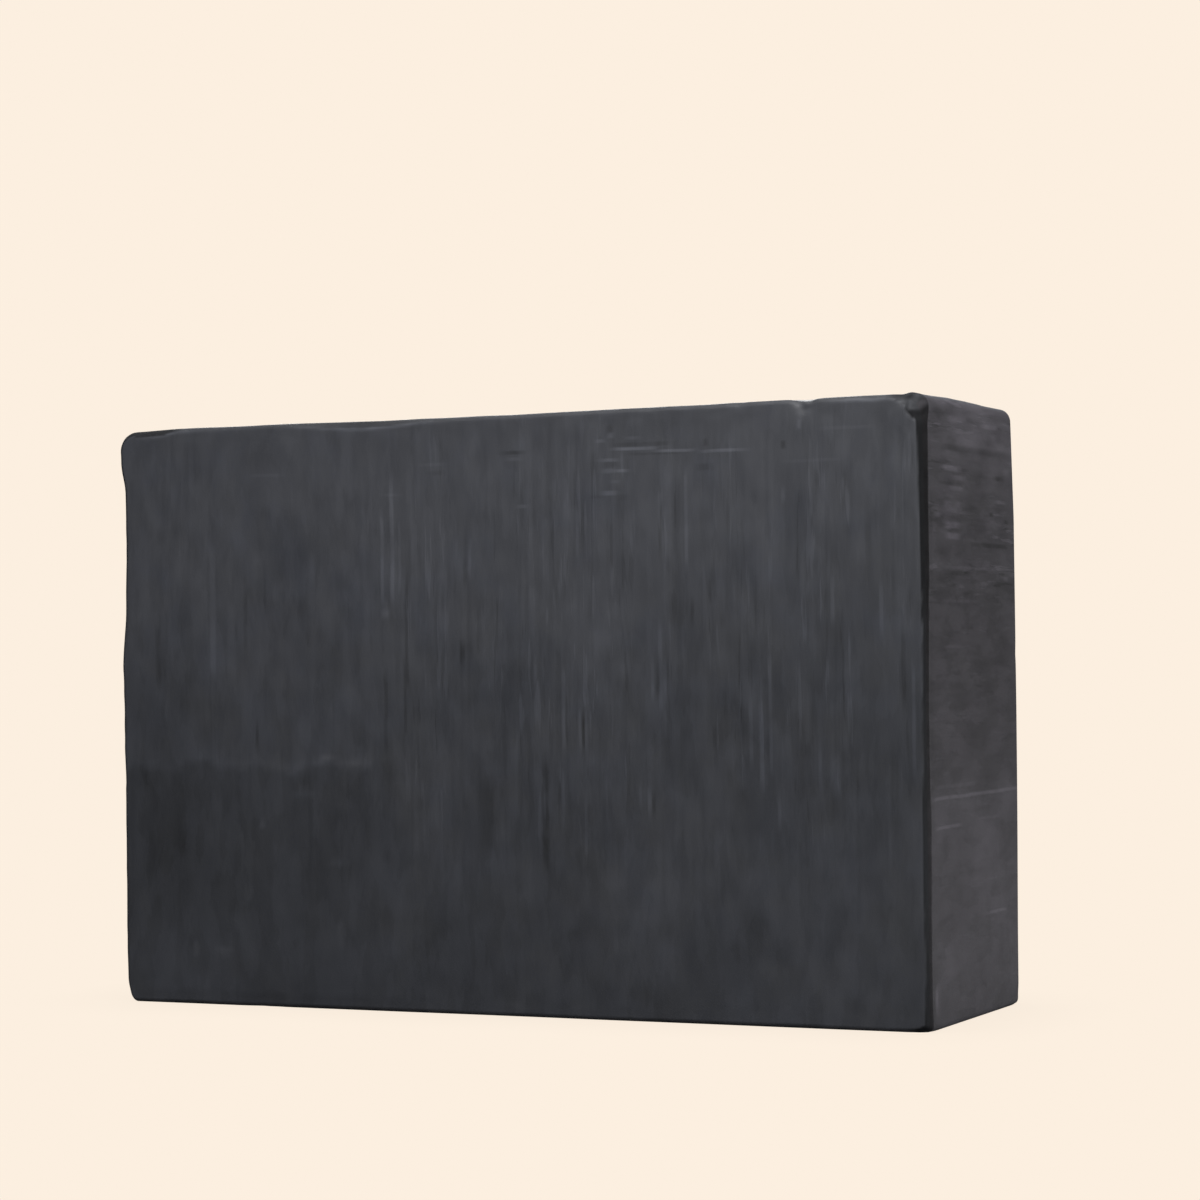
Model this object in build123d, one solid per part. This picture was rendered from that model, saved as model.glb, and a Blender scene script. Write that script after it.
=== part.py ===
"""A pressed charcoal bar: one solid block, standing on a long narrow side.

+X runs along the bar, +Y from its broad front face to its back, and +Z is up.
The origin is the middle of the side that it stands on. Sizes are in millimetres.
"""

from build123d import *
import os

# The block
LENGTH = 84.0
THICKNESS = 26.0
HEIGHT = 56.0

# A shallow hollow in the left end leaves the corner above it standing proud
HOLLOW_DEPTH = 0.5
HOLLOW_BOTTOM = 33.0
HOLLOW_TOP = 52.5

# Rounded corners of the broad faces, the upper left one rubbed down the most
UPPER_LEFT_RADIUS = 2.0
LOWER_LEFT_RADIUS = 1.0
RIGHT_RADIUS = 0.8

# The front face is trimmed all round with a flat bevel, and the back is rounded over
FRONT_BEVEL = 0.6
BACK_RADIUS = 1.3

RIGHT_X = LENGTH / 2
LEFT_X = -LENGTH / 2


def round_corner(face, x, z, radius):
    """Rounds the outline's corner at (x, z), which the sketch holds as its own x and y."""
    corner = face.vertices().sort_by_distance(Vector(x, z))[0]
    fillet(corner, radius)


def outline():
    """The broad face's outline, on the XZ plane."""
    hollow_middle = (HOLLOW_BOTTOM + HOLLOW_TOP) / 2
    with BuildSketch(Plane.XZ) as face:
        with BuildLine():
            Polyline((LEFT_X, HOLLOW_BOTTOM), (LEFT_X, 0), (RIGHT_X, 0), (RIGHT_X, HEIGHT))
            Polyline((RIGHT_X, HEIGHT), (LEFT_X, HEIGHT), (LEFT_X, HOLLOW_TOP))
            ThreePointArc(
                (LEFT_X, HOLLOW_TOP),
                (LEFT_X + HOLLOW_DEPTH, hollow_middle),
                (LEFT_X, HOLLOW_BOTTOM),
            )
        make_face()
        round_corner(face, LEFT_X, HEIGHT, UPPER_LEFT_RADIUS)
        round_corner(face, LEFT_X, 0, LOWER_LEFT_RADIUS)
        for z in (0, HEIGHT):
            round_corner(face, RIGHT_X, z, RIGHT_RADIUS)
    return face.sketch


def charcoal_bar():
    """The whole bar: the outline at its full thickness, bevelled in front and rounded behind."""
    bar = extrude(outline(), THICKNESS / 2, both=True)
    front_to_back = bar.faces().sort_by(Axis.Y)
    bar = fillet(front_to_back[-1].edges(), BACK_RADIUS)
    front_face = bar.faces().sort_by(Axis.Y)[0]
    return chamfer(front_face.edges(), FRONT_BEVEL)


os.makedirs("parts", exist_ok=True)
export_step(charcoal_bar(), "parts/charcoal_bar.step")
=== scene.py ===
"""Looks of the pressed charcoal bar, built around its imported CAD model.

The bar's own shape is worked out in millimetres in the CAD frame, +X along the bar, -Y out of
its bevelled front face and +Z up, and is turned into metres when its mesh is made.
"""

import math

import bmesh
import bpy
import numpy as np
from mathutils import Matrix, Vector


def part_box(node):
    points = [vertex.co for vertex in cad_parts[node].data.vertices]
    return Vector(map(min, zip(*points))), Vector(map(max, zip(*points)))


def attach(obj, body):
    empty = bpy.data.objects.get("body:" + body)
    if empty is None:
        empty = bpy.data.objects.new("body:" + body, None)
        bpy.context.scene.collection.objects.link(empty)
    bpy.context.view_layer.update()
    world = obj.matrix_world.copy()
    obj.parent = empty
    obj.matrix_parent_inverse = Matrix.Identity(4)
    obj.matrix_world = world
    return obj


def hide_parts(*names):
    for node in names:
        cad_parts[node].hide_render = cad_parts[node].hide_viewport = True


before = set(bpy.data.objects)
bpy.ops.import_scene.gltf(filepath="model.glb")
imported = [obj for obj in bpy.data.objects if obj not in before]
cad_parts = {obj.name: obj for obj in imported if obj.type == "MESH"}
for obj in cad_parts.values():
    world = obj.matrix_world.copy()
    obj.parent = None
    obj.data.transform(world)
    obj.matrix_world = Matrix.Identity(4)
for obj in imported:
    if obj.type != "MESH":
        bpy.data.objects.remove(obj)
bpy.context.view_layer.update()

MM = 0.001
NODE = "charcoal_bar"
LOW, HIGH = (Vector(corner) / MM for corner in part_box(NODE))
LENGTH, THICKNESS, HEIGHT = HIGH - LOW
RIGHT = HIGH.x
LEFT = LOW.x
FRONT = LOW.y
BACK = HIGH.y
TOP = HIGH.z

# Rounding of the outline's corners, as seen from the front, and of the back's edges
UPPER_RIGHT_RADIUS = 1.1
LOWER_RIGHT_RADIUS = 0.5
UPPER_LEFT_RADIUS = 2.0
LOWER_LEFT_RADIUS = 1.0
BACK_RADIUS = 1.3

# The front face's own upper right corner is rounder than the outline there, by this much a mm inwards
UPPER_RIGHT_GROWTH = 1.0

# How far in from the outline's corners and from the front and back edges the rounding is worked out
CORNER_ZONE = 4.5
FRONT_ZONE = 1.6
BACK_ZONE = 2.6

# The grid's steps: along x and y, up z, and finer ones in a zone beside each edge, which are finest
# through the bar, along y
LEVEL_STEP = 0.75
UPRIGHT_STEP = 0.5
EDGE_STEP = 0.2
EDGE_ZONE = 2.4
THROUGH_EDGE_STEP = 0.15
THROUGH_EDGE_ZONE = 2.1

# A shallow dip in the front's top edge, where the bevel is wider: its middle and its half width
DIP_X = -14.5
DIP_WIDTH = 5.5

# How deep a strong groove is
GROOVE_DEPTH = 0.03

# The sides of the block, in the order of their materials
SIDES = ["front", "back", "left", "right", "bottom", "top"]

# The first of the seeds for random wear and tone. Each function that needs one adds its own number.
SEED = 7

# Scrapes that stand out. Each has its place across the drag direction, its two ends along it, its
# half width and its strength, above 0 for a pale scrape and below 0 for a dark groove.
# On the front they run upwards: x, then low and high z.
FRONT_SCRAPES = [
    (-37.6, 30, 38, 0.30, -0.25), (-31.3, 31, 45, 0.32, 0.30), (-29.2, 31, 40, 0.45, 0.28),
    (-27.6, 33, 41, 0.20, -0.30), (-26.4, 24, 28, 0.16, -0.45), (-20.2, 37, 44, 0.35, 0.20),
    (-12.4, 37.8, 48.0, 0.17, 0.55), (-11.3, 38, 51.5, 0.22, 0.65), (-10.5, 39, 47, 0.14, 0.35),
    (-12.1, 36.9, 38.4, 0.45, 0.45), (-9.8, 30, 42, 0.16, -0.38), (-8.9, 38.5, 47.5, 0.40, 0.32),
    (-12.2, 24, 33, 0.20, -0.30), (-10.1, 24.8, 34, 0.14, -0.32), (-5.9, 34.9, 43, 0.50, 0.30),
    (-3.9, 32, 35.6, 0.26, -0.45), (-3.5, 39.3, 46, 0.18, -0.32), (-3.0, 40, 45, 0.15, 0.45),
    (-1.4, 14.5, 23, 0.75, -0.18), (3.7, 29.8, 34.2, 0.15, 0.40), (4.6, 13, 24.3, 0.36, -0.38),
    (6.6, 24, 33, 0.18, 0.45), (7.2, 45.2, 49, 0.35, 0.30), (8.2, 42, 47.6, 0.15, 0.40),
    (8.7, 42, 47.5, 0.17, -0.35), (8.8, 14, 22, 0.14, 0.28), (15.2, 18, 22, 0.20, 0.50),
    (15.6, 18, 21.5, 0.16, -0.35), (14.3, 19, 22, 0.14, 0.3), (16.4, 27.5, 36.8, 0.20, 0.40),
    (17.3, 41.6, 51.3, 0.55, 0.45), (16.6, 41.5, 48.5, 0.14, -0.30), (19.2, 40.7, 50.7, 0.16, 0.50),
    (19.7, 35.4, 39.3, 0.18, -0.35), (22.7, 35.4, 37.4, 0.30, -0.32), (26.3, 20.3, 30, 0.20, 0.45),
    (27.2, 22, 34, 0.15, 0.30), (28.7, 46.6, 48.6, 0.18, 0.40), (32.0, 47, 50.6, 0.26, -0.30),
    (32.6, 47, 50, 0.18, 0.40), (33.3, 35.2, 41, 0.18, 0.45), (33.4, 19.9, 25, 0.42, 0.38),
    (36.8, 41, 46.5, 0.28, -0.25), (37.9, 34.3, 40.4, 0.18, 0.45), (39.9, 28, 36.5, 0.20, -0.28),
    (40.8, 22, 33, 0.16, 0.40), (15.6, 28.6, 34.1, 0.15, 0.45), (16.1, 29, 33.5, 0.20, -0.35),
    (16.8, 28.5, 33.8, 0.17, 0.40), (25.3, 22.6, 30.1, 0.17, 0.40), (31.9, 20.6, 25.6, 0.15, 0.35),
    (27.9, 16.9, 21.1, 0.15, 0.35), (8.3, 23.8, 29.3, 0.15, 0.35), (8.6, 24, 29, 0.14, -0.30),
    (8.9, 23.8, 29.3, 0.14, 0.35),
]
# Across the front's upper part a few fine scratches run level: z, then left and right x.
FRONT_SCRATCHES = [
    (52.3, 11.2, 17.0, 0.14, 0.60), (52.0, 15.5, 21.0, 0.13, 0.50), (51.8, 20.0, 26.0, 0.14, 0.55),
    (52.7, 11.4, 18.7, 0.18, -0.16), (51.8, 12.5, 19.5, 0.12, -0.14), (53.1, 9.9, 11.4, 0.16, 0.30),
    (53.3, 12.8, 15.3, 0.14, 0.30), (53.6, 11.2, 12.3, 0.25, 0.30), (51.3, 9.8, 13.2, 0.15, 0.35),
    (50.9, 10.4, 13.0, 0.22, -0.15), (50.3, 10.5, 12.3, 0.20, 0.60), (50.3, 11.5, 14.0, 0.14, 0.50),
    (49.3, 11.2, 13.0, 0.14, 0.25), (48.3, 10.3, 12.8, 0.20, 0.80), (48.0, 9.0, 11.5, 0.16, -0.18),
    (47.9, 12.0, 14.0, 0.25, -0.15), (54.1, 11.0, 12.2, 0.45, -0.20), (52.6, 20.8, 21.6, 0.30, -0.20),
    (50.4, 19.8, 22.6, 0.30, -0.22), (52.1, 28.4, 29.2, 0.35, -0.30), (53.9, 30.0, 30.7, 0.40, 0.35),
    (52.4, -0.4, 3.8, 0.17, -0.28), (51.8, 0.2, 3.2, 0.16, 0.20), (48.9, -12.8, -9.6, 0.12, 0.20),
    (51.2, -27.8, -22.5, 0.15, 0.12), (51.6, -9.0, -4.5, 0.15, 0.14), (50.8, -8.0, -5.0, 0.20, -0.12),
    (47.4, 1.6, 3.4, 0.16, 0.28), (50.6, 28.0, 35.0, 0.14, 0.12), (53.4, 31.5, 38.0, 0.14, 0.14),
]
# On the right end they run level: z, then front and back y.
END_SCRAPES = [
    (54.3, -7.5, -1.0, 0.28, 0.30), (54.1, 2.2, 8.6, 0.20, 0.50), (52.4, -5.3, 1.6, 0.40, 0.22),
    (51.7, -9.0, 10.5, 0.26, -0.18), (51.1, -9.0, -2.5, 0.30, 0.16), (50.3, -10.6, -5.3, 0.20, -0.25),
    (50.1, 8.6, 11.4, 0.30, 0.22), (49.8, -9.5, -2.5, 0.24, 0.60), (49.4, 5.0, 10.0, 0.20, -0.28),
    (49.0, -6.7, -1.1, 0.22, 0.42), (48.4, -10.6, -2.5, 0.15, -0.25), (48.0, -7.3, -2.3, 0.20, 0.50),
    (47.2, 5.0, 10.5, 0.16, 0.45), (47.0, -9.0, -2.5, 0.16, -0.22), (46.3, -9.0, -2.8, 0.55, 0.38),
    (46.0, 4.2, 6.1, 0.20, -0.45), (45.5, -11.4, -8.4, 0.18, 0.32), (45.3, 4.2, 7.2, 0.15, 0.28),
    (45.4, 8.6, 10.5, 0.16, -0.35), (44.7, -8.8, -3.4, 0.28, 0.55), (44.2, -8.0, -3.0, 0.18, -0.22),
    (43.7, -8.8, -3.4, 0.26, 0.65), (43.1, -2.0, 10.5, 0.20, -0.28), (40.9, -9.5, 5.0, 0.14, 0.28),
    (40.4, -9.0, 0.0, 0.20, -0.16), (40.1, 7.8, 10.5, 0.20, 0.32), (37.9, -9.5, 2, 0.14, 0.25),
    (33.8, -9.5, -3, 0.12, 0.22), (20.4, -12.6, 13, 0.15, 0.50), (21.4, -12, 0, 0.16, 0.20),
    (17.8, -12, -3.5, 0.14, 0.45), (18.1, -1, 7, 0.12, 0.20), (9.3, 1, 9, 0.14, 0.40),
    (2.7, -12.1, -11.0, 1.00, 0.45),
]

# Broad patches: their middle, half their size each way and their strength, above 0 for a pale one
FRONT_PATCHES = [
    (-36.6, 13, 3.5, 6, -0.08), (-34.2, 17, 0.9, 2.4, 0.10), (-18, 46.8, 2.0, 1.7, 0.10),
    (-15.9, 29.4, 1.6, 1.4, 0.12), (-22, 42.7, 1.8, 1.5, -0.10), (3, 42.6, 2.5, 2.7, 0.10),
    (26.5, 44, 2.2, 5.2, 0.10), (23, 27.4, 2.4, 3.2, -0.12), (0.5, 29.5, 3.8, 4, -0.10),
    (-19.5, 34, 4.5, 2.6, -0.07), (9.5, 37.5, 3.5, 5, 0.06), (13.5, 30, 3.5, 4, 0.06),
    (34.5, 38, 3, 4, -0.06), (-9.5, 9, 4.5, 3.4, -0.06), (22, 8, 5, 4, -0.08), (29, 14, 5, 6, 0.05),
    (-37, 20, 5, 8, -0.13), (-37, 34, 3.5, 9, -0.07), (-24, 38, 4, 6, -0.08), (-11, 31, 4, 6, 0.11),
    (-4, 40, 6, 6, 0.07), (9, 41, 7, 7, 0.08), (13, 35, 4, 3.5, 0.08), (-21, 50, 6, 3.5, 0.08),
    (9, 51, 5, 3, 0.06), (27, 51, 5, 3.5, 0.09), (26, 24, 3, 3, -0.07), (2, 19, 9, 4.5, -0.08),
    (28, 19, 7, 4.5, -0.07), (-14, 11, 5, 3, 0.08), (14, 11.5, 8, 3, 0.07), (32, 4, 5, 3, 0.08),
    (-21.3, 20.5, 1.3, 0.5, 0.18), (-16.8, 19.5, 0.9, 0.7, 0.12), (-26, 17.6, 0.4, 0.5, 0.30),
    (-17.5, 14, 1.2, 0.5, 0.14), (-27.6, 11, 0.5, 1, 0.18), (-17.3, 7.2, 0.5, 1.6, 0.18),
    (-33.7, 5.4, 0.4, 0.8, 0.25), (-30.5, 5.3, 1.2, 0.5, 0.22), (-11.5, 7, 2.2, 2, 0.10),
    (-38.5, 22, 1.2, 1.2, -0.10), (-35.2, 20, 1.3, 2.5, -0.05), (2, 49, 9, 5, 0.05), (-3, 6, 9, 5, -0.05),
]
END_PATCHES = [
    (1.4, 46.3, 3.7, 3.4, -0.22), (-9.6, 53.8, 1.8, 1.6, -0.20), (9, 53.4, 3.5, 2.2, 0.14),
    (3.2, 50, 2.4, 0.9, -0.14), (8.2, 48.3, 2.6, 1, 0.10), (5.2, 52.8, 0.5, 0.9, -0.25),
    (-5, 39, 5, 3, -0.10), (4, 34, 6, 6, -0.12), (-6, 16, 4, 3, -0.16), (3, 15.6, 4, 2.6, 0.16),
    (-3.5, 8.5, 5, 2.2, -0.16), (8.5, 16.6, 2.6, 1.7, -0.16), (4, 4, 6, 2.4, -0.18), (-8, 27, 4, 5, 0.08),
    (6, 9, 3, 2, 0.16), (-8, 5.5, 1.6, 2.4, 0.16), (0, 25, 4, 2, -0.08), (0, 53.8, 7.5, 2.4, 0.30),
    (1, 42.5, 6, 3, -0.14), (-9, 11.5, 5, 4, -0.15), (-11.3, 2.6, 0.7, 1.6, 0.30), (1, 13.5, 3, 1.5, 0.14),
    (7, 12, 2.5, 2.5, 0.10), (-2, 18, 5, 1.2, 0.10), (9, 20.5, 3, 1.6, 0.10), (-9, 36.5, 3, 4, -0.08),
]


# ---------------------------------------------------------------- small maths

def smooth(value, low, high):
    """0 below low, 1 above high and a smooth rise between."""
    t = np.clip((value - low) / (high - low), 0, 1)
    return t * t * (3 - 2 * t)


def hill(value, centre, width):
    """A smooth bump of height 1, about twice width across."""
    return np.exp(-((value - centre) / width) ** 2)


def window(value, low, high, soft):
    """1 between low and high, falling smoothly to 0 within soft outside them."""
    return smooth(value, low - soft, low + soft) * (1 - smooth(value, high - soft, high + soft))


def waves(rng, place, wavelength):
    """Smooth random relief of about unit size from sines that run every way over two coordinates."""
    count = 24
    total = np.zeros(len(place[0]))
    for _ in range(count):
        angle = rng.uniform(0, math.pi)
        length = wavelength * rng.uniform(0.6, 1.7)
        across = place[0] * math.cos(angle) + place[1] * math.sin(angle)
        total += np.sin(2 * math.pi * across / length + rng.uniform(0, 2 * math.pi))
    return total / math.sqrt(count / 2)


def even_log(rng, ends):
    """A random value between two ends, even in its logarithm."""
    return math.exp(rng.uniform(math.log(ends[0]), math.log(ends[1])))


# ---------------------------------------------------------------- the plain block's grid

def grid_lines(size, step, edge_step, zone):
    """Grid lines from 0 to size, closer together in the zone beside each end."""
    near = np.arange(0, zone - edge_step / 2, edge_step)
    middle = np.linspace(zone, size - zone, round((size - 2 * zone) / step) + 1)
    return np.concatenate([near, middle, size - near[::-1]])


def block_mesh():
    """A closed box of quads on the CAD model's own box."""
    xs = LEFT + grid_lines(LENGTH, LEVEL_STEP, EDGE_STEP, EDGE_ZONE)
    ys = FRONT + grid_lines(THICKNESS, LEVEL_STEP, THROUGH_EDGE_STEP, THROUGH_EDGE_ZONE)
    zs = grid_lines(HEIGHT, UPRIGHT_STEP, EDGE_STEP, EDGE_ZONE)
    shape = (len(xs), len(ys), len(zs))
    ids = np.full(shape, -1)
    inner = np.zeros(shape, bool)
    inner[1:-1, 1:-1, 1:-1] = True
    ids[~inner] = np.arange(np.count_nonzero(~inner))
    i, j, k = np.nonzero(~inner)
    places = np.stack([xs[i], ys[j], zs[k]], axis=1)

    def quads(side, flip):
        corners = [side[:-1, :-1], side[1:, :-1], side[1:, 1:], side[:-1, 1:]]
        if flip:
            corners.reverse()
        return np.stack([corner.ravel() for corner in corners], axis=1)

    faces = np.concatenate([
        quads(ids[:, 0, :], False), quads(ids[:, -1, :], True),
        quads(ids[0, :, :], True), quads(ids[-1, :, :], False),
        quads(ids[:, :, 0], True), quads(ids[:, :, -1], False),
    ])
    mesh = bpy.data.meshes.new("charcoal_bar_surface")
    mesh.from_pydata(places.tolist(), [], faces.tolist())
    return mesh


def refine(shape, axis, cuts, inside):
    """Cuts each edge that runs along an axis beside a face whose middle passes the test inside."""
    edges = set()
    for face in shape.faces:
        if inside(face.calc_center_median()):
            edges.update(face.edges)
    along = [e for e in edges if abs((e.verts[1].co - e.verts[0].co)[axis]) > 1e-6]
    bmesh.ops.subdivide_edges(shape, edges=along, cuts=cuts, use_grid_fill=True)


def refined_block():
    """The box with a finer grid on the front, on its top edge and on the right end."""
    mesh = block_mesh()
    shape = bmesh.new()
    shape.from_mesh(mesh)
    x_axis, z_axis = 0, 2

    def at_front(middle):
        return middle.y < FRONT + 1.2 and abs(middle.x) < RIGHT - EDGE_ZONE and middle.z > 1

    def on_right_end(middle):
        inner = abs(middle.y) < BACK - 1 and EDGE_ZONE < middle.z < TOP - EDGE_ZONE
        return middle.x > RIGHT - 1e-4 and inner

    refine(shape, x_axis, cuts=2, inside=at_front)
    refine(shape, z_axis, cuts=1, inside=on_right_end)
    many_sided = [face for face in shape.faces if len(face.verts) > 4]
    bmesh.ops.triangulate(shape, faces=many_sided)
    shape.to_mesh(mesh)
    shape.free()
    return mesh


# ---------------------------------------------------------------- rounding the block's edges

def profile(bevelled):
    """A rounded edge as seen end on: how far along it, how far out and how far down each of its
    samples lies, all from 0 to 1, and how long the edge is for a leg of 1."""
    along = np.linspace(0, 1, 201)
    if bevelled:
        shoulder = 0.3
        turn = 0.5 * smooth(along, 0, shoulder) + 0.5 * smooth(along, 1 - shoulder, 1)
    else:
        turn = along
    angle = turn * math.pi / 2
    middles = (angle[1:] + angle[:-1]) / 2
    step = along[1]
    out = np.concatenate([[0], np.cumsum(np.cos(middles)) * step])
    down = np.concatenate([[0], np.cumsum(np.sin(middles)) * step])
    return along, out / out[-1], down / down[-1], 1 / out[-1]


def round_edge(inset, depth, leg, zone, edge_profile):
    """Moves points of a square edge onto a rounded one. inset is how far a point of the broad face is
    from its rim, and depth how far a point of the wall is from the face. One of the two is 0.
    Also gives how far past the start of the rounding each point lies, and as a share of it all."""
    along, out, down, length = edge_profile
    path = 2 * (zone - leg) + length * leg
    on_face = (zone - inset) / zone * path / 2
    on_wall = path - (zone - depth) / zone * path / 2
    place = np.where(depth > 0, on_wall, on_face)
    past = place - (zone - leg)
    turned = np.clip(past / (length * leg), 0, 1)
    new_inset = np.where(turned > 0, leg * (1 - np.interp(turned, along, out)), zone - place)
    new_depth = np.where(turned < 1, leg * np.interp(turned, along, down), leg + past - length * leg)
    near = (inset < zone) & (depth < zone)
    moved = np.where(near, new_inset, inset), np.where(near, new_depth, depth)
    return *moved, np.where(near, past, -zone), np.where(near, turned, 0)


def corner_radius(x, z, inset):
    """The radius of the rounded ring that lies inset from the outline, in each of the four corners."""
    left_radius = np.where(z > 0, UPPER_LEFT_RADIUS, LOWER_LEFT_RADIUS)
    right_radius = np.where(z > 0, UPPER_RIGHT_RADIUS, LOWER_RIGHT_RADIUS)
    radius = np.where(x > 0, right_radius, left_radius)
    growth = np.where((x > 0) & (z > 0), UPPER_RIGHT_GROWTH, -1)
    sharpest = 0.02
    roundest = np.maximum(0.85 * (CORNER_ZONE - inset), sharpest)
    return np.clip(radius + growth * inset, sharpest, roundest)


def round_outline(x, z, inset):
    """Moves points of square rings about the broad face's middle onto rings with round corners."""
    radius = corner_radius(x, z, inset)
    half = np.array([LENGTH / 2, HEIGHT / 2])
    place = np.stack([np.abs(x), np.abs(z)])
    arm = place - (half[:, None] - CORNER_ZONE)
    reach = np.maximum(arm[0], arm[1])
    in_corner = np.minimum(arm[0], arm[1]) > 0
    beside_edge = reach > 0
    new_reach = CORNER_ZONE - inset
    share = np.minimum(arm[0], arm[1]) / np.maximum(reach, 1e-9)
    straight = new_reach - radius
    path = share * (straight + radius * math.pi / 4)
    angle = np.clip((path - straight) / radius, 0, None)
    major = np.where(angle > 0, straight + radius * np.cos(angle), new_reach)
    minor = np.where(angle > 0, straight + radius * np.sin(angle), path)
    x_major = arm[0] >= arm[1]
    corner_x = half[0] - CORNER_ZONE + np.where(x_major, major, minor)
    corner_z = half[1] - CORNER_ZONE + np.where(x_major, minor, major)
    side_x = np.where(x_major, half[0] - inset, place[0])
    side_z = np.where(x_major, place[1], half[1] - inset)
    new_x = np.where(in_corner, corner_x, np.where(beside_edge, side_x, place[0]))
    new_z = np.where(in_corner, corner_z, np.where(beside_edge, side_z, place[1]))
    return np.sign(x) * new_x, np.sign(z) * new_z


def rounded(places, bevel):
    """The block's points after rounding, with what the wear along its edges depends on: how far each
    point lies past the front face's rim, and how far round the front and the back edge."""
    x, y, z = places[:, 0], places[:, 1], places[:, 2] - HEIGHT / 2
    from_rim = np.minimum(LENGTH / 2 - np.abs(x), HEIGHT / 2 - np.abs(z))
    from_rim = np.maximum(from_rim, 0)
    front_inset, from_front, past_rim, front_turn = round_edge(
        from_rim, y - FRONT, bevel, FRONT_ZONE, profile(True))
    back_inset, from_back, _, back_turn = round_edge(
        from_rim, BACK - y, BACK_RADIUS, BACK_ZONE, profile(False))
    at_back = y > 0
    inset = np.where(at_back, back_inset, front_inset)
    new_y = np.where(at_back, BACK - from_back, FRONT + from_front)
    new_x, new_z = round_outline(x, z, inset)
    shape = np.stack([new_x, new_y, new_z + HEIGHT / 2], axis=1)
    past_rim = np.where(at_back, -FRONT_ZONE, past_rim)
    return shape, past_rim, np.where(at_back, 0, front_turn), np.where(at_back, back_turn, 0)


# ---------------------------------------------------------------- wear and trimming by hand

# Knocks along the edges and corners: where, as x, y and z, how wide and how deep
KNOCKS = [
    (30.8, FRONT, TOP, 0.9, 0.42), (24.6, FRONT, TOP, 0.5, 0.06), (40.4, FRONT, TOP, 0.7, 0.16),
    (RIGHT, FRONT, 0, 1.2, 0.10), (-26, FRONT, 0, 1.4, 0.06),
    (LEFT, BACK, TOP, 1.8, 0.30), (RIGHT, BACK, 0, 1.4, 0.18), (-12, BACK, TOP, 1.2, 0.22),
    (17, BACK, TOP, 0.8, 0.20), (LEFT, BACK, 21, 1.1, 0.20), (RIGHT, BACK, 33, 0.9, 0.10),
    (-30, BACK, 0, 1.2, 0.20), (LEFT, FRONT, 22, 0.8, 0.06), (33, BACK, TOP, 0.6, 0.12),
]


def bevel_legs(places):
    """The front bevel's width, which wanders round the rim and is cut away more in places."""
    x, z = places[:, 0], places[:, 2]
    rng = np.random.default_rng(SEED)
    on_top = smooth(z, TOP - 2.5, TOP - 1)
    on_right = smooth(x, RIGHT - 1.6, RIGHT - 0.4)
    on_bottom = 1 - smooth(z, 1, 2.5)
    legs = 0.48 + 0.03 * waves(rng, (x, z), 9) + 0.02 * waves(rng, (x, z), 2.5)
    right_heights = [0, 8, 18, 23, 36, 42, 50, 53]
    right_extra = [0.14, 0.06, 0.28, 0.04, 0.12, 0.26, 0.3, 0.5]
    legs += on_right * np.interp(z, right_heights, right_extra)
    dip = 0.5 * hill(x, DIP_X, DIP_WIDTH)
    facet = 0.06 * hill(x, 38, 4) + 0.55 * smooth(x, 38.8, 41)
    legs += on_top * (dip + facet - 0.14)
    legs += on_top * 0.35 * window(x, LEFT + 1.5, LEFT + 6, 1.5)
    legs -= on_bottom * (1 - on_right) * 0.14
    narrowest, widest = 0.3, 1.3
    return np.clip(legs, narrowest, widest)


def hand_cut(places):
    """Bends the block a little: hollow and worn at its left end, twisted at its right, and wavy."""
    x, y, z = places[:, 0].copy(), places[:, 1].copy(), places[:, 2].copy()
    rng = np.random.default_rng(SEED + 1)
    near_left = 1 - smooth(x, LEFT, LEFT + 7)
    near_right = smooth(x, RIGHT - 22, RIGHT)
    near_top = smooth(z, TOP - 12, TOP)

    # The left end: hollow below its upper corner, worn at its foot, and leaning out towards its top
    hollow = smooth(z, 33, 39) * (1 - smooth(z, 50, 53.2))
    x += (0.45 * hollow + 0.09 + 0.15 * smooth(z, 38, 46)) * near_left
    x += 0.4 * (1 - smooth(z, 0.6, 2.5)) * (1 - smooth(x, LEFT, LEFT + 3))
    from_middle = 2 * z / HEIGHT - 1
    x -= 0.15 * from_middle * (1 - smooth(x, LEFT, LEFT + 22))

    # The right end: shifted by different amounts at its front and its back, which twists it
    front_shift = np.interp(z, [0, 28, 40, 56], [0.07, 0.08, 0.25, 0.20])
    back_shift = np.interp(z, [0, 28, 46, 56], [-0.22, -0.02, 0, -0.25])
    to_back = (y - FRONT) / THICKNESS
    x += (front_shift * (1 - to_back) + back_shift * to_back) * near_right

    # Slow waves, and a top that rises towards both ends but drops at its left corner
    y += 0.05 * waves(rng, (x, z), 26)
    x += 0.03 * waves(rng, (y, z), 26) * near_left
    z += 0.02 * waves(rng, (x, y), 30) * near_top + 0.18 * smooth(np.abs(x), 10, 36) * near_top
    z -= 0.15 * near_top * near_left
    z += 0.012 * waves(rng, (x, y), 6) * smooth(z, 0, 4)

    # The upper right end: a low crown, and a burr on its front corner
    at_end = smooth(x, RIGHT - 9, RIGHT) * smooth(z, TOP - 6, TOP)
    burr = hill(x, RIGHT - 1.3, 0.5) * hill(y, FRONT + 0.8, 0.8)
    z += (0.17 * hill(y, -3, 6) + 0.16 * burr) * at_end
    return np.stack([x, y, z], axis=1)


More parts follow.
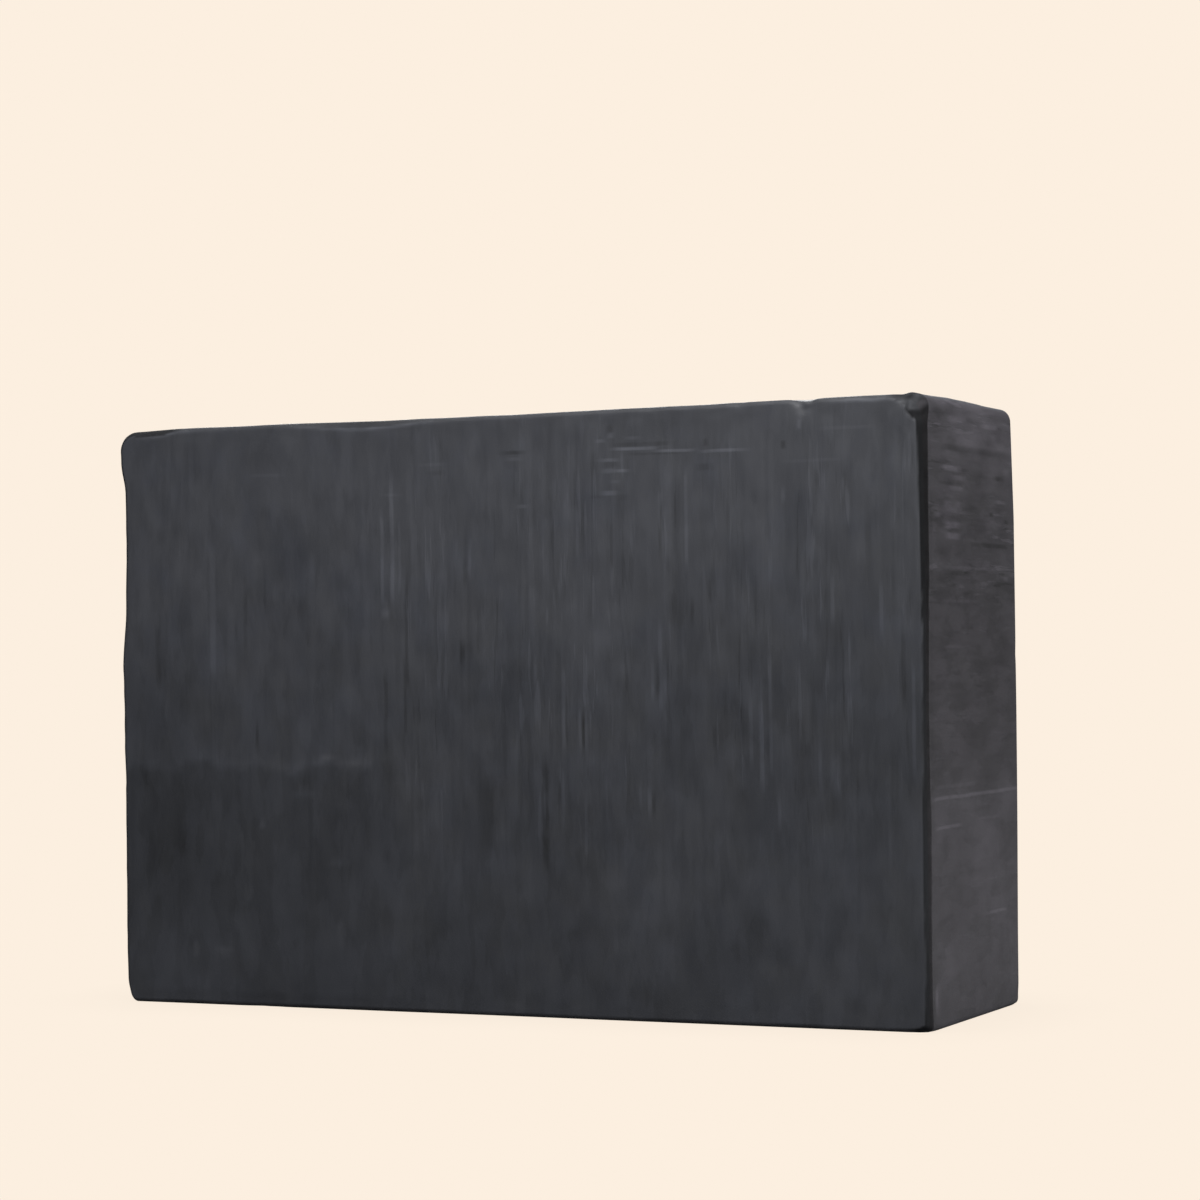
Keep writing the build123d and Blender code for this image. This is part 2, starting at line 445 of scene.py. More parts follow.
def knocked(places):
    """Presses the knocks into the edges, each towards the inside of the block."""
    rng = np.random.default_rng(SEED + 3)
    rough = 1 + 0.25 * waves(rng, (places[:, 0] + places[:, 1], places[:, 2]), 1.6)
    moved = places.copy()
    for x, y, z, width, depth in KNOCKS:
        inward = Vector((
            (x == LEFT) - (x == RIGHT),
            (y == FRONT) - (y == BACK),
            (z == 0) - (z == TOP))).normalized()
        distance = np.linalg.norm(places - np.array((x, y, z)), axis=1)
        moved += np.outer(depth * hill(distance, 0, width) * rough, inward)
    return moved


# ---------------------------------------------------------------- marks on the faces

def drag_marks(rng, across, along, centres, ends, widths, depth):
    """Relief in mm of long thin grooves laid side by side, most of them with a lip on one side."""
    relief = np.zeros(len(across))
    low_end, high_end = ends
    for centre in centres:
        width = even_log(rng, widths)
        length = even_log(rng, (1.5, 0.35 * (high_end - low_end)))
        middle = rng.uniform(low_end + length / 3, high_end - length / 3)
        lean = rng.normal(0, 0.006)
        strength = depth * rng.uniform(0.25, 1)
        lip_side = rng.choice([-1, 1]) * 1.7 * width
        lip = rng.uniform(0, 1.1)
        off_line = across - centre - lean * (along - middle)
        near = np.abs(off_line) < 4.5 * width
        groove = lip * hill(off_line[near], lip_side, width) - hill(off_line[near], 0, width)
        reach = window(along[near], middle - length / 2, middle + length / 2, min(length / 3, 1.5))
        relief[near] += strength * groove * reach
    return relief


def pits(rng, across, along, count, area, radii, depth):
    """Relief in mm of small round pits scattered over an area, and of a few crumbs that stand proud."""
    relief = np.zeros(len(across))
    for _ in range(count):
        a, b = rng.uniform(area[0], area[1]), rng.uniform(area[2], area[3])
        radius = even_log(rng, radii)
        strength = depth * rng.uniform(0.4, 1) * rng.choice([-1, -1, 0.5])
        relief += strength * np.exp(-((across - a) ** 2 + (along - b) ** 2) / radius ** 2)
    return relief


def named_relief(across, along, scrapes, narrowest):
    """Relief in mm of the listed scrapes, none of them narrower than the mesh can show."""
    relief = np.zeros(len(across))
    for centre, low, high, half_width, strength in scrapes:
        line = hill(across, centre, max(0.6 * half_width, narrowest))
        reach = window(along, low, high, min(1.0, (high - low) / 3))
        relief += GROOVE_DEPTH * strength * line * reach
    return relief


def patchwork(across, along, patches):
    """The tone of the listed patches, each a soft-edged oval."""
    tone = np.zeros(len(across))
    for a, b, half_a, half_b, strength in patches:
        distance = np.hypot((across - a) / half_a, (along - b) / half_b)
        tone += strength * (1 - smooth(distance, 0.55, 1.2))
    return tone


def front_bands(rng, count):
    """Across the front face most grooves lie in a few scraped bands, and few lie left of them."""
    bands = [-11, -3.4, 4.5, 8.2, 16.8, 19.4, 26.6, 33, 38.6]
    in_bands = rng.choice(bands, count * 2 // 3) + rng.normal(0, 1.5, count * 2 // 3)
    anywhere = rng.uniform(LEFT + 2, RIGHT - 1, count - count * 2 // 3)
    return np.clip(np.concatenate([in_bands, anywhere]), LEFT + 1.5, RIGHT - 1.2)


def end_bands(rng, count):
    """Down the end faces most grooves lie in the upper third."""
    many = TOP - 1.5 - np.abs(rng.normal(0, 9, count * 3 // 4))
    few = rng.uniform(2, TOP - 2, count - count * 3 // 4)
    return np.clip(np.concatenate([many, few]), 1.5, TOP - 1)


def ridge_line(x):
    """The height at which the front's lower left part was smeared over, along the bar."""
    return 23.1 + 0.35 * np.sin(0.9 * x) + 0.3 * np.sin(0.37 * x + 1) + 0.15 * np.sin(2.3 * x)


def smear_edge(x, z):
    """0 below the ridge line in the front's lower left part, and 1 above it and beyond its ends."""
    beyond = smooth(x, -15.5, -9)
    return np.maximum(smooth(z, ridge_line(x) - 0.4, ridge_line(x) + 0.4), beyond)


def front_relief(rng, x, z):
    """Fine and broad drag marks in bands, the listed scrapes, pits, and the smeared part with its ridge."""
    fine = drag_marks(
        rng, x, z, front_bands(rng, count=330), ends=(10, TOP - 2), widths=(0.12, 0.32), depth=0.024)
    broad = drag_marks(
        rng, x, z, front_bands(rng, count=60), ends=(4, TOP), widths=(0.5, 1.5), depth=0.014)
    listed = named_relief(x, z, FRONT_SCRAPES, narrowest=0.16)
    area = LEFT + 3, RIGHT - 3, 3, TOP - 4
    dents = pits(rng, x, z, count=26, area=area, radii=(0.25, 0.7), depth=0.06)
    ridge = hill(z, ridge_line(x) + 0.4, 0.5) * window(x, -34.5, -14.5, 2)
    smeared = 0.03 * (1 - smear_edge(x, z)) + 0.02 * ridge
    return fine + broad + listed + dents + smeared + 0.010 * waves(rng, (x, z), 4)


def back_relief(rng, x, z):
    """Drag marks all over and a few pits."""
    centres = rng.uniform(LEFT + 2, RIGHT - 2, 190)
    grooves = drag_marks(rng, x, z, centres, ends=(2, TOP - 2), widths=(0.45, 1.3), depth=0.03)
    area = LEFT + 3, RIGHT - 3, 3, TOP - 4
    dents = pits(rng, x, z, count=22, area=area, radii=(0.7, 1.3), depth=0.08)
    return grooves + dents + 0.010 * waves(rng, (x, z), 5)


def end_relief(rng, y, z):
    """Level drag marks, most of them high up, over slow waves and finer level ones near the top."""
    grooves = drag_marks(
        rng, z, y, end_bands(rng, count=190), ends=(FRONT - 6, BACK + 6), widths=(0.14, 0.35), depth=0.03)
    slow = 0.010 * waves(rng, (y, z), 7)
    level = 0.012 * waves(rng, (0.1 * y, z), 1.6) * smooth(z, 34, 44)
    return grooves + slow + level


def right_end_relief(rng, y, z):
    """The right end has its listed scrapes as well."""
    return end_relief(rng, y, z) + named_relief(z, y, END_SCRAPES, narrowest=0.18)


def narrow_relief(rng, x, y):
    """Drag marks along the bar and a few pits, for the top and the bottom."""
    centres = rng.uniform(FRONT + 1, BACK - 2, 70)
    grooves = drag_marks(rng, y, x, centres, ends=(LEFT, RIGHT), widths=(0.4, 0.9), depth=0.022)
    area = LEFT + 3, RIGHT - 3, FRONT + 3, BACK - 3
    dents = pits(rng, x, y, count=12, area=area, radii=(0.6, 1.0), depth=0.06)
    return grooves + dents + 0.012 * waves(rng, (x, y), 5)


def relief(places, side):
    """How far its marks make each point stand proud, in mm. They fade out at the block's edges."""
    x, y, z = places.T
    rng = np.random.default_rng(SEED + 2)
    fade = 0.7, 1.6
    in_x = smooth(RIGHT - np.abs(x), *fade)
    in_y = smooth(BACK - np.abs(y), *fade)
    in_z = smooth(HEIGHT / 2 - np.abs(z - HEIGHT / 2), *fade)
    makers = {
        "front": (x, z, in_x * in_z, front_relief),
        "back": (x, z, in_x * in_z, back_relief),
        "left": (y, z, in_y * in_z, end_relief),
        "right": (y, z, in_y * in_z, right_end_relief),
        "top": (x, y, in_x * in_y, narrow_relief),
        "bottom": (x, y, in_x * in_y, narrow_relief),
    }
    height = np.zeros(len(places))
    for name, (across, along, inner, make) in makers.items():
        picked = np.flatnonzero(side == SIDES.index(name))
        height[picked] = make(rng, across[picked], along[picked]) * inner[picked]
    return height


def front_tone(rng, x, z):
    """The front's broad tones: the dark smeared part with its rubbed ridge, the patches, and painted shade
    and light that darken the face downwards and vary it a little from left to right."""
    worn = 2.0 * window(x, -19.5, -15, 1) + 0.3 * window(x, -34, -20.5, 2)
    ridge = hill(z, ridge_line(x) + 0.3, 0.45) * worn
    tone = (0.12 + 0.16 * smooth(z, 3, 12)) * (smear_edge(x, z) - 1)
    tone += 0.15 * ridge * (1 + 0.3 * waves(rng, (x, z), 3))
    tone += patchwork(x, z, FRONT_PATCHES)
    # Painted shade and light for the key light's fall-off: the face darker downwards, lighter high up, and
    # a little lighter low on the right but darker on the right above that
    tone -= 0.17 * (1 - smooth(z, 26, 44)) + 0.06 * (1 - smooth(z, 8, 22))
    tone += 0.07 * smooth(x, 15, 38) * (1 - smooth(z, 12, 24))
    high = smooth(z, 38, 46)
    tone += 0.04 * high + 0.05 * smooth(x, -30, 0) * high
    tone -= 0.05 * smooth(x, 10, 40) * (1 - high)
    tone -= 0.10 * (1 - smooth(z, 2, 6)) * window(x, -26, 18, 5)
    return tone


def right_end_tone(rng, y, z):
    """The right end's broad tones: patches, a shaded strip beside the front bevel, and pale and dark
    bands up its height, with the pale one below the long scratch ending sharply there."""
    tone = patchwork(y, z, END_PATCHES) - 0.16 * (1 - smooth(y - FRONT, 0.5, 2.2))
    tone += 0.2 * (1 - smooth(z, 19.8, 20.8)) + 0.26 * smooth(z, 48.5, 52.5)
    tone -= 0.06 * window(z, 37, 47, 2) + 0.17 * window(z, 22, 40, 2)
    tone -= 0.28 * (1 - smooth(z, 1, 5))
    tone += 0.05 * waves(rng, (y, z), 2.6) * (1 - smooth(z, 18, 24))
    return tone


def broad_tone(places, side):
    """How much lighter or darker than the rest each point is, over areas wider than a scrape."""
    x, y, z = places.T
    rng = np.random.default_rng(SEED + 4)
    front = front_tone(rng, x, z)
    right = right_end_tone(rng, y, z)
    tone = 0.035 * waves(rng, (x + 0.7 * y, z - 0.6 * y), 16)
    tone += np.where(side == SIDES.index("front"), front, 0)
    tone += np.where(side == SIDES.index("right"), right, 0)
    return tone


def scraped_share(places, side):
    """How thickly fine streaks cover each point, from 0 to 1."""
    x, y, z = places.T
    rng = np.random.default_rng(SEED + 5)
    front = 0.25 + 0.75 * smooth(x, -17, -9)
    front *= 0.12 + 0.88 * smooth(z, 10, 26)
    front *= 1 - 0.5 * smooth(z, 49, 54)
    front *= 0.25 + 0.75 * smear_edge(x, z)
    end = 0.3 + 0.7 * smooth(z, 35, 43)
    other = 0.55 + 0.3 * waves(rng, (x, y + z), 16)
    at_end = (side == SIDES.index("right")) | (side == SIDES.index("left"))
    share = np.where(side == SIDES.index("front"), front, np.where(at_end, end, other))
    return np.clip(share, 0, 1)


def bevel_shade(places):
    """How dark the front bevel is: most down the right end, and more than elsewhere at the top left
    and in the dip. The facet at its upper right corner is mottled and not quite so dark. The darkness
    is partly the cut bevel's duller finish and partly painted shade, as in a groove."""
    x, y, z = places.T
    rng = np.random.default_rng(SEED + 6)
    on_right = smooth(x, RIGHT - 2.5, RIGHT - 1)
    on_top = smooth(z, TOP - 2.5, TOP - 1)
    upper_left = window(z, 41, 51, 3) * (x < 0) * (1 - on_top)
    cut_away = window(x, LEFT, LEFT + 7, 1) + 0.6 * hill(x, DIP_X, DIP_WIDTH)
    cut_away += 0.5 * smooth(x, RIGHT - 4, RIGHT - 2)
    shade = 0.3 + 0.3 * upper_left + 0.55 * on_top * cut_away
    shade *= 1 - 0.7 * (1 - smooth(z, 0.5, 2.5))
    down_right = 0.8 + 0.25 * smooth(z, 24, 44)
    shade = shade * (1 - on_right) + down_right * on_right
    facet = smooth(x, 38.3, 39.8) * smooth(z, 54.9, 55.5)
    mottled = 0.66 + 0.10 * waves(rng, (x, z + y), 1.1)
    return shade * (1 - facet) + mottled * facet


def rim_highlight_strength(places):
    """How bright the front face's rim is, most in three stretches of its top edge: a painted highlight,
    partly rubbed wear.
    """
    x, z = places[:, 0], places[:, 2]
    on_top = smooth(z, TOP - 2.5, TOP - 1.5)
    rim_wear_and_highlight = window(x, -39, -33, 2) + window(x, -20, -8, 3) + window(x, 33.5, 38.8, 1.2)
    return 0.1 + 0.9 * on_top * rim_wear_and_highlight


# ---------------------------------------------------------------- the finished piece

def sides(places):
    """Which side of the block each point lies on, as an index into SIDES."""
    x, y, z = places.T
    distance = np.stack([y - FRONT, BACK - y, x - LEFT, RIGHT - x, z, TOP - z])
    return np.argmin(np.abs(distance), axis=0)


def face_sides(mesh, block):
    """Which side of the block each face lies on, from the middle of its corners on the block."""
    middles = [np.mean(block[list(face.vertices)], axis=0) for face in mesh.polygons]
    return sides(np.array(middles))


def read_points(mesh):
    """The mesh's points, one to a row."""
    flat = np.empty(len(mesh.vertices) * 3)
    mesh.vertices.foreach_get("co", flat)
    return flat.reshape(-1, 3)


def store(mesh, name, values):
    """Keeps one value a point on the mesh, for the materials to read by its name."""
    mesh.attributes.new(name, "FLOAT", "POINT").data.foreach_set("value", np.asarray(values, float))


def normals(mesh):
    """The direction that the surface faces at each point."""
    flat = np.empty(len(mesh.vertices) * 3, np.float32)
    mesh.vertex_normals.foreach_get("vector", flat)
    return flat.reshape(-1, 3).astype(float)


def charcoal_bar():
    """The bar as one closed mesh: a block, rounded, bent a little by hand cutting, then scraped."""
    mesh = refined_block()
    block = read_points(mesh)
    side = sides(block)
    shape, past_rim, front_turn, back_turn = rounded(block, bevel_legs(block))
    shape = knocked(hand_cut(shape))
    mesh.vertices.foreach_set("co", shape.ravel())
    mesh.update()
    marks = relief(block, side)
    shape += normals(mesh) * marks[:, None]
    mesh.vertices.foreach_set("co", (shape * MM).ravel())
    mesh.update()
    store(mesh, "mark", np.clip(marks / GROOVE_DEPTH, -1, 1))
    store(mesh, "tone", broad_tone(block, side))
    store(mesh, "scraped", scraped_share(block, side))
    # The bevel attribute holds the bevel's share times its darkness, which is partly a duller cut finish
    # and partly painted shade
    on_bevel = smooth(front_turn, 0.02, 0.12) * (1 - smooth(front_turn, 0.88, 0.98))
    store(mesh, "bevel", on_bevel * bevel_shade(block))
    # A painted highlight along the front face's rim and the back's rounded edges, partly rubbed wear
    rim = hill(past_rim, 0.0, 0.17) * rim_highlight_strength(block)
    store(mesh, "rim", rim + 0.4 * hill(back_turn, 0.5, 0.3) * (back_turn > 0))
    mesh.polygons.foreach_set("material_index", face_sides(mesh, block))
    mesh.polygons.foreach_set("use_smooth", [True] * len(mesh.polygons))
    mesh.update()
    return mesh


# ---------------------------------------------------------------- materials

class Nodes:
    """Short calls that build one node tree."""

    def __init__(self, tree):
        self.tree = tree

    def add(self, kind, **settings):
        node = self.tree.nodes.new(kind)
        for name, value in settings.items():
            setattr(node, name, value)
        return node

    def set(self, socket, value):
        if isinstance(value, bpy.types.NodeSocket):
            self.tree.links.new(value, socket)
        else:
            socket.default_value = value

    def math(self, operation, a, b=0.0, c=0.0):
        node = self.add("ShaderNodeMath", operation=operation)
        for socket, value in zip(node.inputs, (a, b, c)):
            self.set(socket, value)
        return node.outputs[0]

    def total(self, *values):
        result = values[0]
        for value in values[1:]:
            result = self.math("ADD", result, value)
        return result

    def product(self, *values):
        result = values[0]
        for value in values[1:]:
            result = self.math("MULTIPLY", result, value)
        return result

    def placed(self, vector, scale, shift=(0, 0, 0)):
        """The vector scaled and shifted, so that one kind of noise serves for many."""
        node = self.add("ShaderNodeMapping")
        self.set(node.inputs["Vector"], vector)
        self.set(node.inputs["Location"], shift)
        self.set(node.inputs["Scale"], scale)
        return node.outputs[0]

    def noise(self, vector, scale, detail=3.0, roughness=0.5):
        """Noise from 0 to 1 with scale features to a unit of the vector."""
        node = self.add("ShaderNodeTexNoise")
        self.set(node.inputs["Vector"], vector)
        self.set(node.inputs["Scale"], scale)
        self.set(node.inputs["Detail"], detail)
        self.set(node.inputs["Roughness"], roughness)
        return node.outputs["Fac"]

    def rise(self, value, low, high, start=0.0, end=1.0):
        """A smooth change from start to end as value goes from low to high."""
        node = self.add("ShaderNodeMapRange", interpolation_type="SMOOTHSTEP")
        for name, setting in (("Value", value), ("From Min", low), ("From Max", high),
                              ("To Min", start), ("To Max", end)):
            self.set(node.inputs[name], setting)
        return node.outputs["Result"]

    def window(self, value, low, high, soft):
        """1 between low and high, falling to 0 within soft inside each of them."""
        half = (high - low) / 2
        off = self.math("ABSOLUTE", self.math("SUBTRACT", value, low + half))
        return self.rise(off, half - soft, half, 1.0, 0.0)

    def scrapes(self, across, along, listed):
        """The tone of all the scrapes in a list, below 0 for dark ones and above 0 for pale ones."""
        tones = []
        for centre, low, high, half_width, strength in listed:
            line = self.window(across, centre - 1.5 * half_width, centre + 1.5 * half_width, half_width)
            reach = self.window(along, low, high, min(2.0, (high - low) / 2))
            tones.append(self.product(line, reach, strength))
        return self.total(*tones)

    def mix(self, factor, a, b):
        node = self.add("ShaderNodeMix", data_type="RGBA")
        self.set(node.inputs["Factor"], factor)
        self.set(node.inputs["A"], a)
        self.set(node.inputs["B"], b)
        return node.outputs["Result"]

    def attribute(self, name):
        return self.add("ShaderNodeAttribute", attribute_name=name).outputs["Fac"]

    def centred(self, value, strength):
        """A 0 to 1 value turned into one that swings by strength either side of 0."""
        return self.math("MULTIPLY_ADD", value, 2 * strength, -strength)


def emptied(owner):
    """Clears the node tree of a material or of the world, for new nodes."""
    owner.use_nodes = True
    owner.node_tree.nodes.clear()
    return Nodes(owner.node_tree)


def random_scrapes(seed, count, across_ends, along_ends, widths):
    """A list of scrapes like the named ones, for a face that needs none in any one place."""
    rng = np.random.default_rng(seed)
    listed = []
    for _ in range(count):
        length = even_log(rng, (3, 0.4 * (along_ends[1] - along_ends[0])))
        low = rng.uniform(along_ends[0] - length / 3, along_ends[1] - length * 2 / 3)
        strength = rng.choice([-1, 1]) * rng.uniform(0.2, 0.6)
        listed.append((rng.uniform(*across_ends), low, low + length, even_log(rng, widths), strength))
    return listed


def dragged_streaks(n, mm, drag):
    """The tone of the fine streaks, which lie along the drag direction and come in bands."""
    dragged = n.placed(mm, drag)
    dragged_again = n.placed(mm, drag, (37, 11, 23))
    dragged_bands = n.placed(mm, drag, (5, 71, 3))
    fibres = n.noise(dragged, 1.5, 4, 0.65)
    pale_lines = n.rise(n.noise(dragged, 1.8, 2, 0.5), 0.60, 0.69)
    dark_lines = n.rise(n.noise(dragged_again, 1.8, 2, 0.5), 0.61, 0.70)
    in_bands = n.rise(n.noise(dragged_bands, 0.3, 2, 0.5), 0.42, 0.58, 0.15, 1.0)
    lines = n.total(n.centred(fibres, 0.32), n.product(pale_lines, 0.30), n.product(dark_lines, -0.20))
    return n.product(lines, in_bands, n.attribute("scraped"))


def listed_scrapes(n, mm, scrapes):
    """The tone of lists of scrapes, which wander a little from straight lines."""
    wander = n.centred(n.noise(mm, 0.15, 1), 0.12)
    axes = n.add("ShaderNodeSeparateXYZ")
    n.set(axes.inputs[0], mm)
    tones = []
    for across, along, listed, strength in scrapes:
        tone = n.scrapes(n.total(axes.outputs[across], wander), axes.outputs[along], listed)
        tones.append(n.product(tone, strength))
    return n.total(*tones)


def charcoal_colour(n, mm, tone, deep, pale):
    """The base colour: a slow mix of two charcoal greys, made lighter or darker by the tone, which holds
    painted shade and light as well as the charcoal's own tones.
    """
    paleness = n.math("MULTIPLY_ADD", n.attribute("tone"), 0.5, n.noise(mm, 0.16, 3, 0.6))
    tint = n.mix(n.rise(paleness, 0.25, 0.6), deep, pale)
    colour = n.add("ShaderNodeVectorMath", operation="SCALE")
    n.set(colour.inputs[0], tint)
    n.set(colour.inputs["Scale"], tone)
    return colour.outputs[0]


def charcoal(name, drag, deep, pale, scrapes, contrast=1.0):
    """Pressed charcoal with streaks dragged along one direction. drag holds how fast they change
    along each axis, deep and pale are its two colours, scrapes holds lists of scrapes, each with
    the axes across and along them and their strength, and contrast is how strong the rest is."""
    material = bpy.data.materials.new(name)
    n = emptied(material)
    mm = n.placed(n.add("ShaderNodeTexCoord").outputs["Object"], (1 / MM,) * 3)
    half_dragged = n.placed(mm, [math.sqrt(rate) for rate in drag])
    clouds = n.noise(mm, 0.07, 4, 0.55)
    blotches = n.noise(half_dragged, 0.6, 4, 0.62)
    slabs = n.rise(n.noise(half_dragged, 0.45, 3, 0.6), 0.47, 0.53)
    grain = n.noise(mm, 9.0, 2, 0.6)
    broken = n.math("MULTIPLY_ADD", n.rise(n.noise(mm, 0.24, 3, 0.6), 0.36, 0.56), 0.5, 0.5)

    bevel = n.attribute("bevel")
    open_face = n.math("SUBTRACT", 1.0, bevel)
    streaks = n.product(dragged_streaks(n, mm, drag), open_face, contrast)
    named = n.product(listed_scrapes(n, mm, scrapes), broken, open_face)
    # The colour follows the marks' relief as well: darker in grooves and pits and paler where marks stand
    # proud, partly dust and partly painted shade and light
    tone = n.total(
        1.0, streaks, named, n.attribute("tone"),
        n.centred(slabs, 0.05 * contrast), n.centred(clouds, 0.06), n.centred(blotches, 0.06 * contrast),
        n.centred(grain, 0.07), n.product(n.attribute("mark"), 0.10))
    # Painted shade on the bevel, partly its duller cut finish, darkens the colour there
    tone = n.product(tone, n.math("MULTIPLY_ADD", bevel, -0.78, 1.0))
    # Painted highlight along the rims, partly rubbed wear, lightens the colour
    rim_wear_and_highlight = n.product(n.attribute("rim"), broken)
    tone = n.math("MULTIPLY_ADD", rim_wear_and_highlight, 0.8, tone)

    bump = n.add("ShaderNodeBump")
    n.set(bump.inputs["Height"], n.total(streaks, n.centred(grain, 0.12), n.centred(blotches, 0.1)))
    bump.inputs["Distance"].default_value = GROOVE_DEPTH * MM
    bump.inputs["Strength"].default_value = 1.0

    roughness = n.math("MULTIPLY_ADD", bevel, 0.3, n.rise(blotches, 0.3, 0.7, 0.5, 0.62))
    shader = n.add("ShaderNodeBsdfPrincipled")
    n.set(shader.inputs["Base Color"], charcoal_colour(n, mm, tone, deep, pale))
    n.set(shader.inputs["Roughness"], roughness)
    n.set(shader.inputs["Normal"], bump.outputs["Normal"])
    shader.inputs["Specular IOR Level"].default_value = 0.45
    # Charcoal isn't a metal: over the bevel's near-black colour, a share of metal only takes the shine away
    n.set(shader.inputs["Metallic"], n.math("MULTIPLY", bevel, 0.58))
    output = n.add("ShaderNodeOutputMaterial")
    n.set(output.inputs["Surface"], shader.outputs["BSDF"])
    return material


# The charcoal's greys, two for the sides along the bar and two for its ends
COOL = (0.0305, 0.0326, 0.0404, 1)
NEUTRAL = (0.0309, 0.0322, 0.0378, 1)
WARM = (0.0350, 0.0318, 0.0384, 1)
DUSKY = (0.0345, 0.0319, 0.0376, 1)

# How fast streaks change along x, y and z, which is slowly along the way they were dragged
UPRIGHT_DRAG = (1, 1, 0.085)
CROSS_DRAG = (1, 0.12, 1)
LONG_DRAG = (0.085, 1, 1)

# The ends' marks stand out more than the other sides'
END_CONTRAST = 1.9


def face_materials():
    """One material for each side of the block, in the order of SIDES."""
    broad_ends = ((LEFT + 3, RIGHT - 3), (4, TOP - 3))
    end_ends = ((3, TOP - 2), (FRONT, BACK))
    narrow_ends = ((FRONT + 2, BACK - 2), (LEFT, RIGHT))
    return [
        charcoal("front_face_charcoal", UPRIGHT_DRAG, COOL, NEUTRAL, [
            ("X", "Z", FRONT_SCRAPES, 0.85), ("Z", "X", FRONT_SCRATCHES, 1.7)]),
        charcoal("back_face_charcoal", UPRIGHT_DRAG, COOL, NEUTRAL, [
            ("X", "Z", random_scrapes(21, 34, *broad_ends, (0.14, 0.6)), 0.85),
            ("Z", "X", random_scrapes(22, 7, (6, TOP - 4), (-30, 30), (0.1, 0.16)), 1.4)]),
        charcoal("left_end_charcoal", CROSS_DRAG, WARM, DUSKY, [
            ("Z", "Y", random_scrapes(23, 22, *end_ends, (0.12, 0.4)), 1.5)], END_CONTRAST),
        charcoal("right_end_charcoal", CROSS_DRAG, WARM, DUSKY, [
            ("Z", "Y", END_SCRAPES, 1.7)], END_CONTRAST),
        charcoal("bottom_side_charcoal", LONG_DRAG, COOL, NEUTRAL, [
            ("Y", "X", random_scrapes(24, 20, *narrow_ends, (0.14, 0.4)), 1.0)]),
        charcoal("top_side_charcoal", LONG_DRAG, COOL, NEUTRAL, [
            ("Y", "X", random_scrapes(25, 20, *narrow_ends, (0.14, 0.4)), 1.0)]),
    ]


def make_bar():
    """The bar as one object, which rides on the CAD model's only body and stands for its node."""
    mesh = charcoal_bar()
    for material in face_materials():
        mesh.materials.append(material)
    bar = bpy.data.objects.new("pressed_charcoal_bar", mesh)
    bpy.context.scene.collection.objects.link(bar)
    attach(bar, "root")
    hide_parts(NODE)


# ---------------------------------------------------------------- studio

# The backdrop's colour, and the strength of the even light that comes from all round
CREAM = (0.973, 0.863, 0.745, 1)
FILL = 0.06


def backdrop():
    """A cream world for the camera, and a dim even light from it for everything else."""
    world = bpy.data.worlds.new("studio")
    bpy.context.scene.world = world
    n = emptied(world)
    seen = n.add("ShaderNodeBackground")
    seen.inputs["Color"].default_value = CREAM
    fill = n.add("ShaderNodeBackground")
    fill.inputs["Color"].default_value = (1, 1, 1, 1)
    fill.inputs["Strength"].default_value = FILL
    chosen = n.add("ShaderNodeMixShader")
    n.set(chosen.inputs[0], n.add("ShaderNodeLightPath").outputs["Is Camera Ray"])
    n.set(chosen.inputs[1], fill.outputs[0])
    n.set(chosen.inputs[2], seen.outputs[0])
    n.set(n.add("ShaderNodeOutputWorld").inputs["Surface"], chosen.outputs[0])


def floor():
    """A wide floor that the camera sees as the backdrop's cream, but for a faint shade beside the bar,
    and that the light meets as a dull matte sheet."""
    half = 40.0
    mesh = bpy.data.meshes.new("studio_floor")
    corners = [(-half, -half, 0), (half, -half, 0), (half, half, 0), (-half, half, 0)]
    mesh.from_pydata(corners, [], [(0, 1, 2, 3)])
    sheet = bpy.data.objects.new("studio_floor", mesh)
    bpy.context.scene.collection.objects.link(sheet)
    material = bpy.data.materials.new("studio_floor")
    n = emptied(material)
    shade = n.add("ShaderNodeAmbientOcclusion", samples=8)
    shade.inputs["Color"].default_value = CREAM
    shade.inputs["Distance"].default_value = 12 * MM
    glow = n.add("ShaderNodeEmission")
    n.set(glow.inputs["Color"], n.mix(0.08, CREAM, shade.outputs["Color"]))
    matte = n.add("ShaderNodeBsdfDiffuse")
    matte.inputs["Color"].default_value = (0.16, 0.16, 0.16, 1)
    both = n.add("ShaderNodeMixShader")
    n.set(both.inputs[0], n.add("ShaderNodeLightPath").outputs["Is Camera Ray"])
    n.set(both.inputs[1], matte.outputs[0])
    n.set(both.inputs[2], glow.outputs[0])
    n.set(n.add("ShaderNodeOutputMaterial").inputs["Surface"], both.outputs[0])
    mesh.materials.append(material)


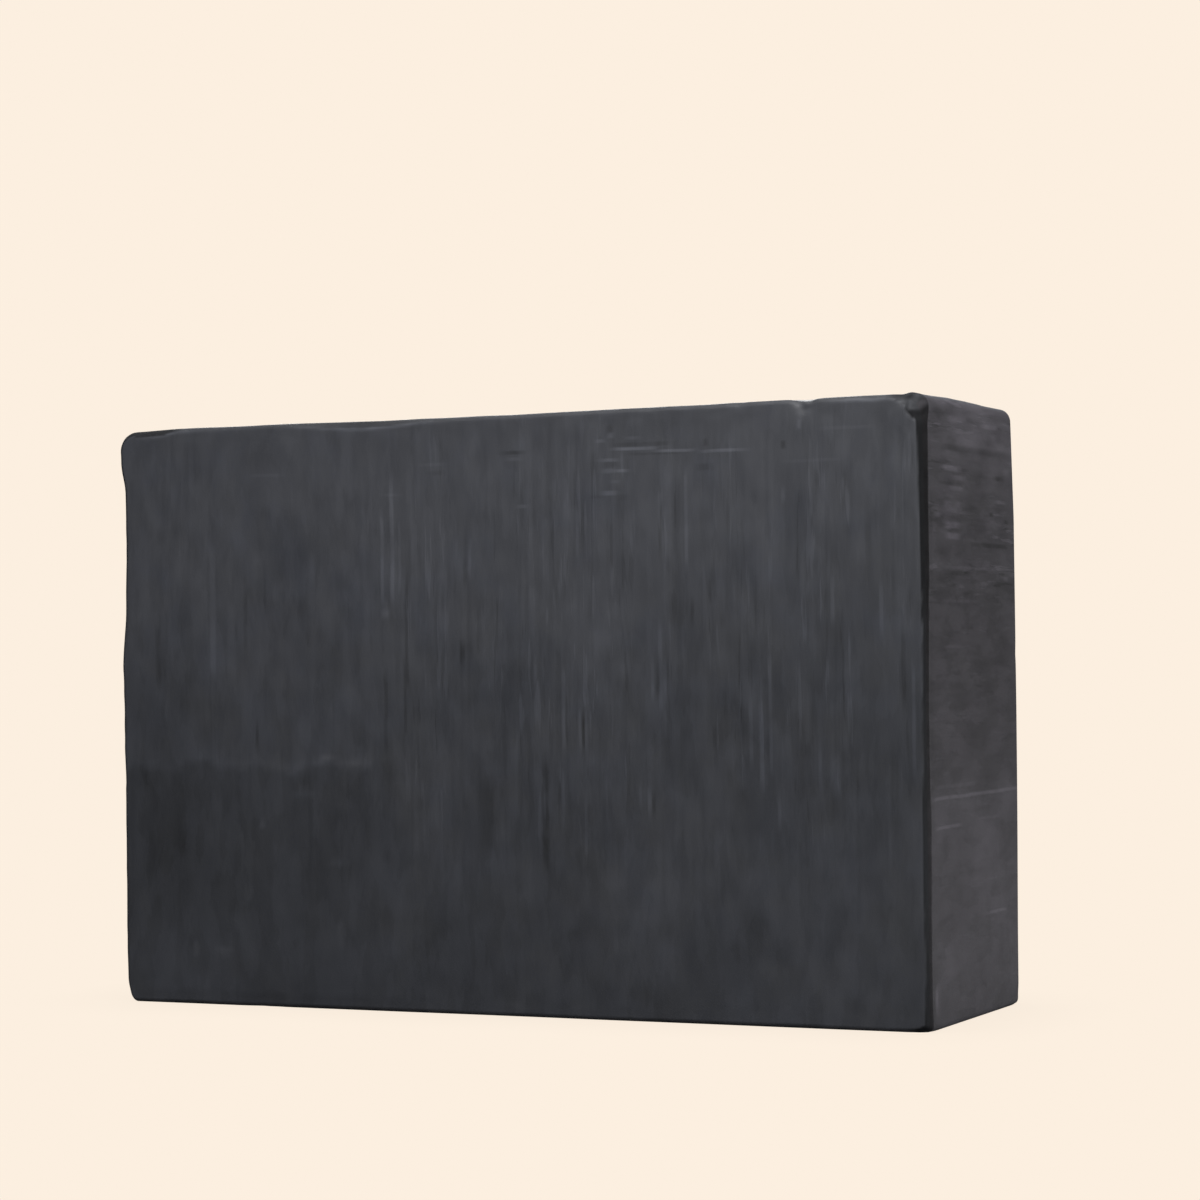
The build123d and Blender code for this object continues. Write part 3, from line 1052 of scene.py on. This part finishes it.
MIDDLE = Vector((0, 0, HEIGHT / 2)) * MM


def softbox(name, azimuth, elevation, distance, size, power):
    """A soft white light that faces the bar. Azimuth 0 is in front of it and 90 beyond its right end."""
    turn, rise = math.radians(azimuth), math.radians(elevation)
    outward = Vector((math.sin(turn) * math.cos(rise), -math.cos(turn) * math.cos(rise), math.sin(rise)))
    lamp = bpy.data.lights.new(name, "AREA")
    lamp.shape = "RECTANGLE"
    lamp.size, lamp.size_y = size
    lamp.energy = power
    light = bpy.data.objects.new(name, lamp)
    bpy.context.scene.collection.objects.link(light)
    light.location = MIDDLE + outward * distance
    light.rotation_euler = outward.to_track_quat("Z", "Y").to_euler()
    light.visible_camera = False


def lights():
    """The key light in front, one beyond the right end, and two that reach the back and the top."""
    softbox("key_softbox", azimuth=18, elevation=55, distance=0.33, size=(0.15, 0.15), power=1.92)
    softbox("end_softbox", azimuth=100, elevation=10, distance=0.8, size=(0.45, 0.4), power=4.4)
    softbox("back_softbox", azimuth=212, elevation=35, distance=0.75, size=(0.4, 0.4), power=5)
    softbox("top_softbox", azimuth=150, elevation=75, distance=0.8, size=(0.5, 0.5), power=1)


def camera():
    """A long lens at a little over half the bar's height, in front of the bar and to its right."""
    azimuth, elevation, roll = math.radians(25.5), math.radians(-0.84), math.radians(-0.76)
    distance = 317.35
    target = Vector((4.24, 0, 38.745))
    outward = Vector((
        math.sin(azimuth) * math.cos(elevation),
        -math.cos(azimuth) * math.cos(elevation),
        math.sin(elevation)))
    lens = bpy.data.cameras.new("camera")
    lens.sensor_width = 36
    lens.lens = 99
    lens.clip_start = 0.01
    lens.clip_end = 200
    view = bpy.data.objects.new("camera", lens)
    bpy.context.scene.collection.objects.link(view)
    facing = outward.to_track_quat("Z", "Y").to_matrix().to_4x4()
    place = Matrix.Translation((target + outward * distance) * MM)
    view.matrix_world = place @ facing @ Matrix.Rotation(roll, 4, "Z")
    bpy.context.scene.camera = view


camera()
backdrop()
floor()
lights()
make_bar()
bpy.context.scene.view_settings.view_transform = "Standard"
